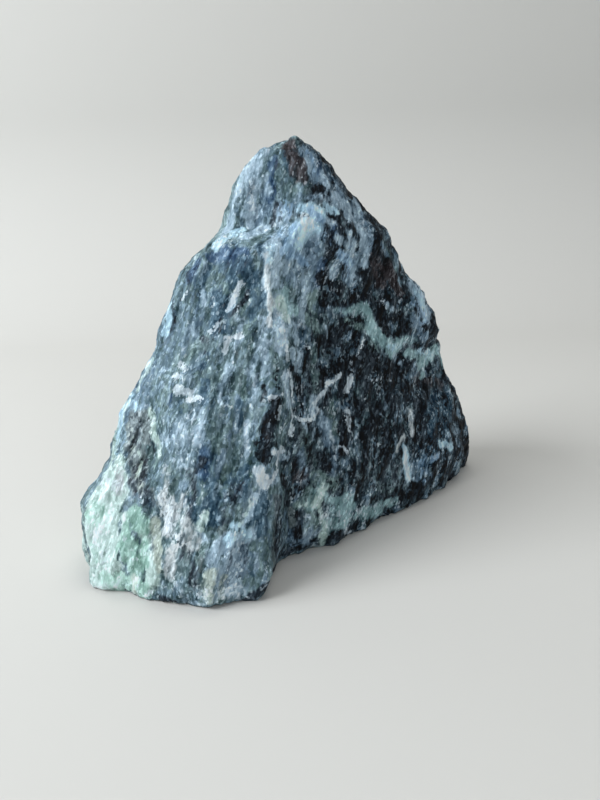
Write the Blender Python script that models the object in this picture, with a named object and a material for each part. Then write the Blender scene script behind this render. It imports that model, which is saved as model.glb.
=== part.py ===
"""Raw soapstone carving block: one rough, unworked lump of stone that stands on its underside.

The lump is given by level outlines, as if it had been sawn into slices: each outline lists sixteen corners,
starting at the left end and running round the front, the right end and the back. The skin stretched over
the outlines is rounded like weathered stone, broken up with three sizes of relief that follow the grain of
the stone, and cut flat underneath. Units are metres, +Z is up, -Y is the front.
"""

import math

import bpy
import bmesh
from mathutils import Vector

MM = 0.001

# Level outlines, in millimetres: height above the underside, then (x, y) corners.
# Corners 0-4 are the left end and the left face, 5-6 the front edge, 7-10 the right face,
# 11-15 the back.
OUTLINES = (
    (-7, ((-107, -40), (-102, -53), (-88, -61), (-69, -66), (-50, -72), (-33, -70), (-24, -36), (4, -25),
          (34, -3), (72, 28), (93, 57), (91, 72), (54, 78), (2, 70), (-48, 56), (-90, 16))),
    (1, ((-115, -46), (-111, -62), (-92, -69), (-71, -74), (-51, -81), (-28, -72), (-15, -38), (6, -29),
         (36, -8), (77, 26), (100, 58), (98, 76), (56, 83), (2, 76), (-50, 62), (-98, 20))),
    (14, ((-118, -40), (-108, -59), (-93, -65), (-72, -72), (-50, -79), (-26, -72), (-15, -40), (8, -30),
          (38, -6), (79, 28), (101, 56), (100, 76), (57, 85), (2, 79), (-52, 63), (-102, 18))),
    (30, ((-120, -33), (-110, -52), (-95, -56), (-73, -67), (-49, -72), (-26, -68), (-16, -37), (8, -27),
          (38, -3), (78, 32), (98, 57), (96, 79), (56, 86), (4, 82), (-55, 60), (-104, 12))),
    (46, ((-107, -24), (-103, -41), (-92, -46), (-73, -60), (-48, -64), (-23, -59), (-14, -36), (10, -23),
          (39, 2), (74, 35), (92, 57), (91, 79), (54, 85), (6, 80), (-56, 56), (-98, 6))),
    (64, ((-105, -18), (-94, -32), (-85, -38), (-69, -50), (-45, -54), (-20, -49), (-12, -34), (12, -16),
          (39, 8), (66, 35), (83, 59), (85, 78), (50, 82), (2, 73), (-54, 53), (-90, 9))),
    (84, ((-91, -14), (-85, -24), (-77, -30), (-62, -39), (-42, -43), (-18, -40), (-10, -28), (14, -9),
          (38, 13), (60, 34), (74, 54), (78, 74), (48, 76), (-2, 66), (-52, 49), (-82, 12))),
    (104, ((-77, -9), (-77, -16), (-70, -22), (-57, -29), (-40, -32), (-17, -31), (-9, -22), (14, -3),
           (38, 17), (57, 32), (76, 51), (72, 68), (44, 72), (-2, 62), (-48, 42), (-71, 12))),
    (122, ((-70, -4), (-69, -9), (-63, -13), (-52, -19), (-37, -22), (-18, -22), (-9, -16), (12, 0),
           (34, 18), (49, 31), (58, 43), (57, 60), (38, 68), (0, 63), (-38, 44), (-60, 16))),
    (138, ((-65, -2), (-61, -6), (-57, -9), (-48, -13), (-36, -16), (-19, -17), (-8, -12), (11, 0),
           (28, 12), (41, 25), (50, 36), (47, 52), (32, 60), (2, 55), (-30, 40), (-52, 18))),
    (150, ((-50, 5), (-48, -1), (-46, -5), (-40, -9), (-31, -11), (-17, -14), (-6, -12), (9, -4),
           (22, 7), (33, 18), (43, 31), (40, 46), (24, 54), (0, 52), (-27, 40), (-44, 20))),
    (158, ((-42, 11), (-40, 7), (-37, 4), (-33, 3), (-25, 3), (-13, -3), (-2, -8), (9, -3),
           (17, 5), (27, 16), (35, 29), (31, 43), (16, 49), (-4, 47), (-26, 38), (-39, 20))),
    (172, ((-37, 11), (-35, 7), (-32, 5), (-28, 3), (-20, 3), (-12, 2), (-4, 0), (5, 3),
           (11, 9), (16, 16), (21, 25), (19, 35), (9, 41), (-7, 41), (-24, 33), (-36, 20))),
    (184, ((-30, 12), (-28, 7), (-24, 5), (-22, 3), (-16, 2), (-10, 3), (-3, 4), (4, 7),
           (8, 12), (11, 17), (12, 24), (10, 31), (3, 35), (-8, 35), (-21, 29), (-30, 20))),
    (195, ((-22, 12), (-21, 8), (-17, 7), (-15, 5), (-11, 5), (-7, 6), (-2, 7), (2, 10),
           (1, 13), (2, 16), (2, 21), (0, 26), (-2, 29), (-9, 28), (-17, 24), (-23, 18))),
)
SUMMIT = (-12, 15, 198)
NUB_CENTRE = (-5.5, 12, 196)
NUB_RADIUS = 3.6

# Rounding and relief
VOXEL = 2.6
ROUNDING_PASSES = 4
GRAIN_TILT = 24.0
GRAIN_STRETCH = 2.6
COARSE_RELIEF = 7.0
COARSE_SIZE = 30.0
CHIPS_RELIEF = 5.0
CHIPS_SIZE = 15.0
FINE_RELIEF = 2.0
FINE_SIZE = 6.0
KEPT_TRIANGLES = 0.19

# The stone is set so that the middle of its footprint box is the origin.
CENTRE_X = -8.75
CENTRE_Y = 3.2
FLOOR_HALF_SIDE = 200.0
FLOOR_DEPTH = 40.0

STONE_COLOUR = (0.13, 0.19, 0.19, 1.0)
STONE_ROUGHNESS = 0.62


def clear_scene():
    for obj in list(bpy.data.objects):
        bpy.data.objects.remove(obj)


def new_object(name, bm):
    bmesh.ops.recalc_face_normals(bm, faces=bm.faces)
    mesh = bpy.data.meshes.new(name)
    bm.to_mesh(mesh)
    bm.free()
    obj = bpy.data.objects.new(name, mesh)
    bpy.context.scene.collection.objects.link(obj)
    return obj


def placed(x, y, z):
    return Vector((x - CENTRE_X, y - CENTRE_Y, z)) * MM


def stone_skin():
    """The closed skin stretched over the level outlines."""
    bm = bmesh.new()
    rings = []
    for height, corners in OUTLINES:
        rings.append([bm.verts.new(placed(x, y, height)) for x, y in corners])
    count = len(rings[0])
    for lower, upper in zip(rings, rings[1:]):
        for i in range(count):
            j = (i + 1) % count
            bm.faces.new((lower[i], lower[j], upper[j], upper[i]))
    bm.faces.new(list(reversed(rings[0])))
    summit = bm.verts.new(placed(*SUMMIT))
    for i in range(count):
        bm.faces.new((rings[-1][i], rings[-1][(i + 1) % count], summit))
    bmesh.ops.triangulate(bm, faces=[face for face in bm.faces if len(face.verts) > 4])
    return new_object("soapstone_block", bm)


def nub():
    """The small tooth of stone left standing on the summit."""
    bm = bmesh.new()
    bmesh.ops.create_icosphere(bm, subdivisions=1, radius=NUB_RADIUS * MM)
    bmesh.ops.translate(bm, verts=bm.verts, vec=placed(*NUB_CENTRE))
    return new_object("nub", bm)


def floor_block():
    """Everything below the underside, taken away so that the stone stands flat."""
    bm = bmesh.new()
    bmesh.ops.create_cube(bm, size=1.0)
    side = 2 * FLOOR_HALF_SIDE * MM
    bmesh.ops.scale(bm, verts=bm.verts, vec=(side, side, FLOOR_DEPTH * MM))
    bmesh.ops.translate(bm, verts=bm.verts, vec=(0, 0, -FLOOR_DEPTH * MM / 2))
    return new_object("floor_cut", bm)


def grain_axes():
    """An empty leaning like the grain; textures read from it are drawn out along the grain."""
    axes = bpy.data.objects.new("grain_axes", None)
    axes.rotation_euler = (0, math.radians(GRAIN_TILT), 0)
    axes.scale = (1, 1, GRAIN_STRETCH)
    axes.location = placed(0, 0, 0)
    bpy.context.scene.collection.objects.link(axes)
    return axes


def boolean(block, guide, operation, name):
    guide.hide_render = True
    guide.display_type = "WIRE"
    step = block.modifiers.new(name, "BOOLEAN")
    step.operation = operation
    step.solver = "EXACT"
    step.object = guide


def relief(block, axes, name, kind, size, depth):
    texture = bpy.data.textures.new(name, kind)
    texture.noise_scale = size * MM
    step = block.modifiers.new(name, "DISPLACE")
    step.texture = texture
    step.texture_coords = "OBJECT"
    step.texture_coords_object = axes
    step.mid_level = 0.5
    step.strength = depth * MM
    return texture


def main():
    clear_scene()
    block = stone_skin()

    remesh = block.modifiers.new("even_skin", "REMESH")
    remesh.mode = "VOXEL"
    remesh.voxel_size = VOXEL * MM
    remesh.use_smooth_shade = True
    rounding = block.modifiers.new("rounding", "SMOOTH")
    rounding.factor = 0.5
    rounding.iterations = ROUNDING_PASSES

    axes = grain_axes()
    relief(block, axes, "coarse_relief", "CLOUDS", COARSE_SIZE, COARSE_RELIEF)
    relief(block, axes, "chips", "VORONOI", CHIPS_SIZE, CHIPS_RELIEF)
    relief(block, axes, "fine_relief", "CLOUDS", FINE_SIZE, FINE_RELIEF)

    boolean(block, nub(), "UNION", "join_nub")
    thinning = block.modifiers.new("thinning", "DECIMATE")
    thinning.ratio = KEPT_TRIANGLES
    boolean(block, floor_block(), "DIFFERENCE", "flat_underside")

    stone = bpy.data.materials.new("soapstone")
    stone.use_nodes = True
    shader = stone.node_tree.nodes["Principled BSDF"]
    shader.inputs["Base Color"].default_value = STONE_COLOUR
    shader.inputs["Roughness"].default_value = STONE_ROUGHNESS
    shader.inputs["Metallic"].default_value = 0.0
    block.data.materials.append(stone)


main()
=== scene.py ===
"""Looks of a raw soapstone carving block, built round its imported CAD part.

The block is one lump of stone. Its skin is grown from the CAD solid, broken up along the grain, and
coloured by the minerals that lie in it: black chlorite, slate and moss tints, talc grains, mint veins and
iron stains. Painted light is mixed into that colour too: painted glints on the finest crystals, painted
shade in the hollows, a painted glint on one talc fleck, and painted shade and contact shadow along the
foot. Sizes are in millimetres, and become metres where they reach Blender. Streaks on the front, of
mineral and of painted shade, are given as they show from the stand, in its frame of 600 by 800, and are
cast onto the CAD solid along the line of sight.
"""

import logging
import math
import random
from dataclasses import dataclass, field, fields
from enum import Enum
from typing import ClassVar

import bmesh
import bpy
import numpy as np
from mathutils import Euler, Matrix, Vector, noise
from mathutils.bvhtree import BVHTree


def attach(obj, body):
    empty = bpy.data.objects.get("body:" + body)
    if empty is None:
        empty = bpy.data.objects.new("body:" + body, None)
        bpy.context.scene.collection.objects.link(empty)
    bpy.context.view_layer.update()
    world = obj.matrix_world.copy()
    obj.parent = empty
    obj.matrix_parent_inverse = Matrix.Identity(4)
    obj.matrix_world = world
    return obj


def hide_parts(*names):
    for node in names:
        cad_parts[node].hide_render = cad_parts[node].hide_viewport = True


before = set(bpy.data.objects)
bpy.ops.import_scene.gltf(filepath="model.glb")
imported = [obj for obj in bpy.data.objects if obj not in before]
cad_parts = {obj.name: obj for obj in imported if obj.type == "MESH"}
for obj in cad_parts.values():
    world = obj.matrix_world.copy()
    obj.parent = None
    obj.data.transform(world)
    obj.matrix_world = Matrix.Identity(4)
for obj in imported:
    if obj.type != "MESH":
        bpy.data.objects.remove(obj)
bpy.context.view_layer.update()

MM = 0.001
Triple = tuple[float, float, float]
Colour = tuple[float, float, float, float]
Range = tuple[float, float]
Socket = bpy.types.NodeSocket
log = logging.getLogger("soapstone")

# What a mask says where there is none of its mineral: so little that no crystal takes it up.
ABSENT = -0.4
# The least that a squared length counts as, so that a course of one spot has a share of 0 along it.
HAIR = 1e-9


class Mineral(Enum):
    """What a stretch of the stone is made of. Each value names the mask that the skin's points hold."""

    DEEP_MOSS = "deep_moss"
    MOSS = "moss"
    SLATE = "slate"
    EARTH = "earth"
    NAVY = "navy"
    TEAL = "teal"
    IRON = "iron"
    # A dark tint for dark mineral, and also for painted shade and contact shadow along the foot.
    COAL = "coal"
    BLACK = "black"
    PALE = "pale"
    DEEP_MINT = "deep_mint"
    PALE_MINT = "pale_mint"
    MINT = "mint"
    JADE = "jade"
    CREAM = "cream"
    PINK = "pink"
    ICE = "ice"
    BLUE = "blue"
    TALC = "talc"


(
    DEEP_MOSS, MOSS, SLATE, EARTH, NAVY, TEAL, IRON, COAL, BLACK, PALE,
    DEEP_MINT, PALE_MINT, MINT, JADE, CREAM, PINK, ICE, BLUE, TALC,
) = Mineral

# How a lode shows from the stand: how wide and how strong, and spots along it, across and down the frame.
Spot = tuple[float, float]
Streak = tuple[float, float, *tuple[Spot, ...]]
Group = tuple[Mineral, *tuple[Streak, ...]]


def smooth_step(low: float, high: float, value: np.ndarray) -> np.ndarray:
    """0 below low, 1 above high, and an even curve between them."""
    t = np.clip((value - low) / (high - low), 0.0, 1.0)
    return t * t * (3.0 - 2.0 * t)


def distance(points: np.ndarray, course: tuple[Triple, ...]) -> np.ndarray:
    """How far each point lies from a course.

    Args:
        points: Points in millimetres.
        course: The corners of the course, in millimetres, or its one spot.

    Returns:
        The distances, in millimetres.
    """
    nearest = np.full(len(points), np.inf)
    for start, end in zip(course, course[1:] or course):
        first = np.array(start, float)
        run = np.array(end, float) - first
        along = np.clip((points - first) @ run / max(run @ run, HAIR), 0.0, 1.0)
        nearest = np.minimum(nearest, np.linalg.norm(points - first - along[:, None] * run, axis=1))
    return nearest


@dataclass(frozen=True)
class Grain:
    """The way the stone splits and its minerals are drawn out: up, and a little right and back."""

    tilt: float = 18.0
    lean: float = 17.0

    def turn(self) -> Triple:
        """The turn that lays the upright axis along the grain."""
        return (math.radians(-self.lean), math.radians(self.tilt), 0.0)

    def axes(self) -> np.ndarray:
        """The same turn as a matrix."""
        return np.array(Euler(self.turn()).to_matrix())

    def along(self, points: np.ndarray, stretch: float) -> np.ndarray:
        """The points in axes that lie along the grain, shortened along it so that patterns read longer.

        Args:
            points: Points in millimetres.
            stretch: How many times longer than wide a pattern comes out.

        Returns:
            The turned points.
        """
        return points @ self.axes() / np.array([1.0, 1.0, stretch])


@dataclass(frozen=True)
class Pattern:
    """Layered noise that swings from about -1 to 1.

    Its size is the width of its largest lumps, in millimetres, and each of its layers is half the size of
    the one before. Its seed sets it apart from the others. It is drawn out along the grain by its stretch,
    or lies in the stone's own axes where that is 0.
    """

    size: float
    layers: int
    seed: float
    stretch: float = 0.0
    smoothness: ClassVar[float] = 0.9
    step: ClassVar[float] = 2.0
    seed_step: ClassVar[Triple] = (1.0, -1.7, 0.6)

    def over(self, points: np.ndarray, grain: Grain) -> np.ndarray:
        """Reads the noise.

        Args:
            points: Points in millimetres.
            grain: The direction in which it is drawn out.

        Returns:
            Its value at each point.
        """
        if self.stretch:
            points = grain.along(points, self.stretch)
        shift = Vector([part * self.seed for part in self.seed_step])
        places = (Vector(point) + shift for point in points / self.size)
        return np.array([noise.fractal(place, self.smoothness, self.step, self.layers) for place in places])


@dataclass(frozen=True)
class Facets:
    """Small flat breaks that lean every way and meet in creases.

    A facet's size is in millimetres, and a crease takes up a share of it. The pattern is drawn out along the
    grain by its stretch, and its scramble keeps neighbours from leaning alike.
    """

    size: float = 10.0
    stretch: float = 1.8
    seed: float = 5.0
    crease: float = 0.16
    scramble: float = 17.3
    seed_step: ClassVar[Triple] = (1.0, 0.3, -1.0)

    def over(self, points: np.ndarray, grain: Grain) -> np.ndarray:
        """Reads the pattern.

        Args:
            points: Points in millimetres.
            grain: The direction in which it is drawn out.

        Returns:
            A height from about -1 to 1 for each point.
        """
        shift = Vector([part * self.seed for part in self.seed_step])
        heights = np.empty(len(points))
        for i, point in enumerate(grain.along(points, self.stretch) / self.size):
            place = Vector(point) + shift
            far, middles = noise.voronoi(place)
            lean = noise.cell_vector(middles[0] * self.scramble) * 2.0 - Vector((1.0, 1.0, 1.0))
            inside = min(1.0, (far[1] - far[0]) / self.crease)
            heights[i] = (place - middles[0]).dot(lean) * inside
        return heights


@dataclass(frozen=True)
class Lode:
    """A body of one mineral that reaches the surface along a course of points.

    Counted in its widths from the course, it is whole up to its core and gone past its fade. Rough noise
    moves that edge by its tear, and its margin takes in every point that it can reach.
    """

    mineral: Mineral
    width: float
    strength: float
    course: tuple[Triple, ...]
    core: ClassVar[float] = 0.4
    fade: ClassVar[float] = 1.6
    tear: ClassVar[float] = 0.4
    margin: ClassVar[float] = 2.6

    def amount(self, points: np.ndarray, rough: np.ndarray) -> np.ndarray:
        """How much of the mineral each point holds.

        Args:
            points: Skin points in millimetres.
            rough: A noise value from -1 to 1 for each point, which tears the lode's edge.

        Returns:
            A value from ABSENT to the lode's strength.
        """
        held = np.full(len(points), ABSENT)
        course = np.array(self.course, float)
        reach = self.margin * self.width
        near = np.all((points > course.min(0) - reach) & (points < course.max(0) + reach), axis=1)
        if near.any():
            spread = distance(points[near], self.course) / self.width + self.tear * rough[near]
            held[near] += (self.strength - ABSENT) * (1.0 - smooth_step(self.core, self.fade, spread))
        return held


@dataclass(frozen=True)
class Furrow:
    """A groove broken into the stone between two points, or a welt where the depth is negative."""

    start: Triple
    end: Triple
    width: float
    depth: float
    tear: ClassVar[float] = 0.3

    def cut(self, points: np.ndarray, rough: np.ndarray) -> np.ndarray:
        """How far each point sinks, in millimetres. The arguments are those of Lode.amount."""
        away = distance(points, (self.start, self.end)) / self.width
        return self.depth * (1.0 - smooth_step(0.0, 1.0, away + self.tear * rough))


@dataclass(frozen=True)
class Stand:
    """Where the stone is looked at from: the camera, and its upright frame.

    A spot may lie a little off the stone, and is then looked for on some bearings, out to the slack. A lode's
    width is a share of the width that shows, because its torn edge reaches further, and no lode is finer than
    the least that the skin can hold.
    """

    eye: Triple = (1.721, -325.665, 184.624)
    pitch: float = 19.6
    roll: float = -1.87
    lens: float = 29.25
    film: float = 36.0
    near: float = 10.0
    frame_width: int = 600
    frame_height: int = 800
    slack: int = 22
    bearings: int = 16
    edge_share: float = 0.62
    least_width: float = 0.9

    def pose(self) -> Matrix:
        """Places the camera.

        Returns:
            Its place and turn, in metres.
        """
        tip = Matrix.Rotation(math.radians(90.0 - self.pitch), 4, "X")
        turn = Matrix.Rotation(math.radians(self.roll), 4, "Z")
        return Matrix.Translation(Vector(self.eye) * MM) @ tip @ turn

    def reach(self) -> float:
        """How far behind the lens the frame would hang, in the frame's own units."""
        return self.lens / self.film * self.frame_height

    def meet(self, solid: BVHTree, spot: Spot) -> Vector:
        """Finds what shows at a spot of the frame, or nearest to it where the spot lies just off the stone.

        Args:
            solid: The CAD solid.
            spot: Across and down in the frame.

        Returns:
            The point on the solid, in millimetres.
        """
        pose = self.pose()
        for off in range(self.slack):
            for step in range(self.bearings if off else 1):
                bearing = math.tau * step / self.bearings
                across = spot[0] + off * math.cos(bearing) - self.frame_width / 2
                up = self.frame_height / 2 - spot[1] - off * math.sin(bearing)
                sight = pose.to_3x3() @ Vector((across, up, -self.reach()))
                point = solid.ray_cast(pose.translation, sight)[0]
                if point:
                    return point / MM
        raise ValueError(f"nothing of the stone shows near {spot}")

    def lode(self, solid: BVHTree, mineral: Mineral, streak: Streak) -> Lode:
        """Finds the lode behind a streak.

        Args:
            solid: The CAD solid.
            mineral: The streak's mineral.
            streak: The lode as it shows in the frame.

        Returns:
            The lode, in millimetres.
        """
        width, strength, *spots = streak
        course = [self.meet(solid, spot) for spot in spots]
        away = sum((point - Vector(self.eye)).length for point in course) / len(course)
        width = max(self.least_width, self.edge_share * width * away / self.reach())
        return Lode(mineral, width, strength, tuple(tuple(point) for point in course))


@dataclass(frozen=True)
class FrontStreaks:
    """The streaks that show on the front, listed one by one.

    Each field is one part of the front, from the crown down, and lists its streaks by mineral.
    """

    crown: tuple[Group, ...] = (
        (DEEP_MOSS, (9, 0.8, (276, 204), (275, 226)), (13, 1, (284, 180), (284, 202))),
        (MOSS, (14, 0.5, (290, 186), (304, 194))),
        (SLATE, (22, 0.65, (330, 176), (350, 212)), (14, 0.85, (306, 150), (316, 178)),
         (9, 0.7, (312, 146), (322, 162)), (14, 0.6, (268, 195), (262, 220)),
         (8, 0.6, (300, 196), (320, 198))),
        (EARTH, (11, 0.55, (290, 148), (296, 162))),
        (NAVY, (7, 0.55, (318, 160), (326, 180)), (9, 0.6, (274, 158), (271, 182), (271, 198))),
        (TEAL, (8, 0.6, (285, 150), (289, 166)), (8, 0.6, (306, 152), (314, 162))),
        (IRON, (13, 0.9, (289, 146), (296, 160), (300, 174))),
        (COAL, (10.5, 0.73, (277, 206), (275, 222))),
        (PALE, (10, 0.9, (244, 214), (250, 226)), (8, 0.5, (264, 178), (268, 190)),
         (11, 0.9, (303, 148), (316, 156)), (9, 0.6, (322, 194), (334, 206)),
         (8, 0.6, (299, 199), (300, 209)), (14, 1, (252, 180), (251, 212)),
         (16, 0.6, (262, 152), (250, 170), (240, 195)), (12, 0.6, (236, 200), (230, 222), (222, 240)),
         (5, 0.75, (309, 160), (310, 174)), (8, 0.9, (325, 174), (327, 188))),
        (BLUE, (8, 0.35, (310, 152), (316, 172))),
        (TALC, (9, 0.55, (252, 184), (251, 206))),
    )
    ice_patch: tuple[Group, ...] = (
        (MOSS, (8, 0.6, (386, 248), (396, 266))),
        (SLATE, (12, 0.8, (318, 262), (314, 284)), (16, 0.8, (300, 258), (292, 278))),
        (PALE, (15, 0.5, (282, 216), (285, 231)), (8, 0.6, (322, 218), (332, 222)),
         (10, 0.8, (275, 258), (276, 284)), (8, 0.6, (338, 238), (348, 246)),
         (12, 0.8, (318, 214), (313, 232)), (8, 0.7, (337, 262), (332, 276)),
         (15, 1.1, (338, 200), (356, 224)), (18, 0.85, (302, 228), (296, 246), (284, 262)),
         (11, 0.75, (300, 248), (298, 266)), (12, 0.8, (278, 236), (270, 256))),
        (ICE, (9, 0.6, (318, 208), (316, 228)), (16, 0.95, (307, 226), (292, 248)),
         (12, 1, (302, 208), (322, 211)), (7, 0.8, (326, 206), (334, 212)),
         (7, 0.6, (272, 244), (269, 262))),
        (BLUE, (9, 0.9, (290, 254), (304, 262)), (9, 0.8, (338, 254), (350, 262)),
         (9, 0.9, (312, 212), (320, 220)), (12, 0.7, (296, 230), (286, 254)),
         (12, 0.4, (284, 206), (280, 236))),
        (TALC, (7, 0.7, (304, 216), (306, 225)), (5, 0.45, (272, 244), (269, 264))),
    )
    ledge: tuple[Group, ...] = (
        (MOSS, (6, 0.5, (240, 243), (262, 236))),
        (PALE, (11, 0.95, (248, 236), (264, 230))),
        (ICE, (8, 0.9, (214, 246), (228, 237), (242, 230))),
    )
    pocket: tuple[Group, ...] = (
        (NAVY, (12, 0.9, (226, 249), (246, 253)), (12, 0.8, (214, 256), (228, 258)),
         (17, 1.05, (226, 256), (242, 262)), (12, 0.7, (196, 264), (190, 280))),
        (TEAL, (9, 0.8, (262, 247), (266, 257)), (15, 0.95, (242, 262), (254, 280)),
         (13, 0.7, (226, 266), (232, 284)), (11, 0.7, (208, 268), (200, 296))),
        (COAL, (6, 0.42, (188, 272), (190, 284))),
    )
    upper_left: tuple[Group, ...] = (
        (DEEP_MOSS, (7, 0.9, (243, 344), (241, 360)), (18, 0.9, (248, 258), (254, 290), (250, 310)),
         (14, 0.9, (224, 272), (220, 300)), (13, 1, (220, 304), (216, 328))),
        (MOSS, (12, 0.7, (252, 318), (248, 345))),
        (SLATE, (16, 0.6, (205, 300), (192, 330), (184, 350))),
        (TEAL, (8, 0.7, (204, 352), (204, 366)), (12, 1, (218, 298), (216, 330)),
         (10, 0.85, (228, 300), (227, 328)), (9, 0.85, (254, 294), (252, 316)),
         (7, 0.8, (263, 284), (262, 304))),
        (COAL, (6, 0.42, (174, 300), (172, 330)), (4.5, 0.63, (250, 290), (242, 302), (230, 318)),
         (4.5, 0.42, (230, 318), (216, 334)), (3.5, 0.42, (232, 296), (216, 312)),
         (6, 0.73, (202, 337), (204, 341)), (6, 0.47, (212, 338), (202, 352))),
        (PALE, (6, 0.7, (192, 324), (196, 334)), (6, 0.5, (206, 262), (204, 280)),
         (8, 0.65, (240, 318), (239, 332)), (4, 0.7, (203, 286), (204, 304)),
         (5, 0.8, (242, 282), (236, 296), (229, 310)), (9, 0.4, (220, 338), (240, 340)),
         (5, 0.6, (234, 345), (232, 370)), (5, 0.55, (226, 345), (219, 362))),
        (ICE, (10, 0.85, (168, 306), (167, 332))),
        (TALC, (4, 0.9, (182, 298), (188, 292)), (5, 0.8, (210, 331), (218, 325)),
         (5, 1, (241, 283), (236, 295)), (4, 0.85, (234, 298), (228, 310)),
         (4, 1, (227, 337), (242, 337)), (4, 1.1, (229, 340), (225, 351)),
         (3, 0.7, (236, 348), (234, 364))),
    )
    talc_band: tuple[Group, ...] = (
        (DEEP_MOSS, (9, 0.7, (160, 362), (155, 392)), (8, 0.8, (205, 380), (203, 398)),
         (10, 0.7, (168, 348), (172, 366)), (9, 0.6, (196, 462), (194, 480))),
        (SLATE, (14, 0.5, (200, 356), (190, 372)), (10, 0.7, (198, 430), (206, 448)),
         (10, 0.6, (186, 484), (184, 502))),
        (NAVY, (5, 0.6, (170, 394), (172, 408)), (12, 0.9, (206, 456), (203, 474))),
        (TEAL, (9, 0.8, (205, 382), (204, 402)), (6, 0.6, (180, 404), (182, 412)),
         (8, 0.7, (200, 480), (198, 496))),
        (COAL, (11.5, 0.47, (192, 464), (193, 486)), (7, 0.73, (204, 458), (202, 466))),
        (PALE, (14, 0.6, (158, 438), (176, 440)), (8, 0.6, (192, 379), (192, 391)),
         (11, 0.3, (171, 400), (178, 442)), (16, 0.55, (190, 418), (182, 462)),
         (9, 0.7, (201, 412), (198, 444))),
        (TALC, (7, 0.85, (180, 364), (186, 370)), (7, 0.65, (174, 376), (182, 378)),
         (7, 1.05, (177, 389), (190, 392)), (7, 1.05, (190, 400), (200, 398)),
         (16, 0.3, (192, 416), (196, 448))),
    )
    satin_bands: tuple[Group, ...] = (
        (DEEP_MOSS, (12, 0.9, (246, 486), (240, 520)), (9, 0.9, (254, 392), (252, 412)),
         (10, 1, (240, 380), (234, 402)), (11, 1, (222, 396), (218, 424)),
         (9, 0.8, (218, 432), (212, 448)), (18, 1, (234, 470), (226, 508)),
         (14, 1, (216, 494), (208, 522)), (14, 0.9, (236, 500), (226, 522))),
        (MOSS, (18, 0.5, (240, 380), (236, 450))),
        (SLATE, (7, 0.7, (238, 400), (236, 430)), (6, 0.8, (231, 430), (222, 455), (216, 476))),
        (NAVY, (9, 0.7, (208, 500), (206, 518))),
        (TEAL, (8, 0.6, (228, 403), (228, 414)), (6, 0.6, (240, 404), (242, 424)),
         (9, 0.7, (212, 456), (208, 490)), (10, 0.6, (232, 476), (226, 500)),
         (12, 0.7, (244, 470), (240, 500)), (12, 0.9, (214, 498), (206, 518)),
         (10, 0.9, (192, 502), (196, 518))),
        (COAL, (14, 0.45, (236, 486), (226, 520)), (6, 0.63, (196, 490), (190, 508))),
        (PALE, (7, 0.8, (219, 384), (221, 402)), (9, 0.75, (229, 368), (225, 390)),
         (8, 0.5, (252, 368), (252, 388)), (5, 0.85, (247, 420), (247, 455)),
         (4, 0.5, (256, 346), (255, 380), (252, 410)), (3, 0.6, (230, 440), (224, 456), (217, 474)),
         (4, 0.45, (226, 500), (218, 520))),
        (TALC, (4, 0.45, (247, 424), (247, 452))),
    )
    seam: tuple[Group, ...] = (
        (DEEP_MOSS, (8, 0.7, (283, 272), (286, 284)), (8, 0.6, (278, 350), (284, 370))),
        (MOSS, (12, 0.7, (278, 290), (280, 340)), (14, 0.8, (310, 276), (312, 306)),
         (10, 0.7, (292, 262), (290, 280)), (12, 0.8, (308, 318), (316, 330)),
         (12, 0.6, (272, 345), (274, 385))),
        (BLACK, (7, 0.7, (277, 438), (276, 448)), (7, 0.8, (263, 388), (263, 400)),
         (4, 0.6, (281, 272), (283, 284)), (5, 0.6, (274, 372), (278, 386))),
        (PALE, (12, 0.8, (278, 302), (290, 312)), (8, 0.95, (269, 262), (267, 285), (270, 310)),
         (13, 0.9, (278, 300), (281, 346)), (13, 0.55, (303, 280), (301, 316)),
         (12, 0.5, (291, 318), (296, 340)), (11, 0.7, (263, 320), (264, 372))),
        (DEEP_MINT, (13, 0.7, (284, 295), (291, 312))),
        (PALE_MINT, (9, 0.7, (279, 300), (286, 318)), (9, 0.6, (279, 300), (286, 318)),
         (6, 0.35, (269, 266), (268, 290), (270, 312))),
        (PINK, (6, 0.75, (268, 256), (268, 290), (271, 326))),
        (ICE, (8, 0.25, (277, 318), (281, 344))),
        (TALC, (5, 0.5, (266, 270), (267, 300)), (10, 0.35, (277, 316), (284, 342)),
         (6, 0.85, (270, 398), (283, 393))),
    )
    dark_hollow: tuple[Group, ...] = (
        (SLATE, (16, 0.8, (318, 224), (312, 262)), (12, 0.7, (344, 276), (352, 284)),
         (10, 0.8, (362, 214), (370, 238), (366, 250)), (6, 0.6, (378, 238), (388, 254))),
        (NAVY, (9, 0.7, (322, 262), (318, 282)), (11, 0.9, (334, 226), (335, 244))),
        (IRON, (5, 0.5, (340, 208), (354, 216)), (16, 1, (374, 262), (382, 280)),
         (13, 1, (388, 268), (400, 292))),
        (BLACK, (9, 0.6, (362, 302), (370, 310)), (13, 0.9, (322, 276), (340, 289)),
         (12, 1, (353, 298), (367, 300)), (6, 0.6, (330, 238), (332, 256)),
         (6, 0.6, (374, 216), (384, 230)), (9, 0.5, (376, 266), (384, 280)),
         (9, 0.8, (352, 296), (368, 290))),
        (PALE, (13, 0.85, (350, 236), (352, 262), (354, 276)),
         (12, 0.85, (356, 204), (360, 228), (362, 262))),
        (BLUE, (8, 0.5, (350, 250), (348, 272))),
        (TALC, (3, 0.6, (350, 282), (355, 286))),
    )
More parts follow.
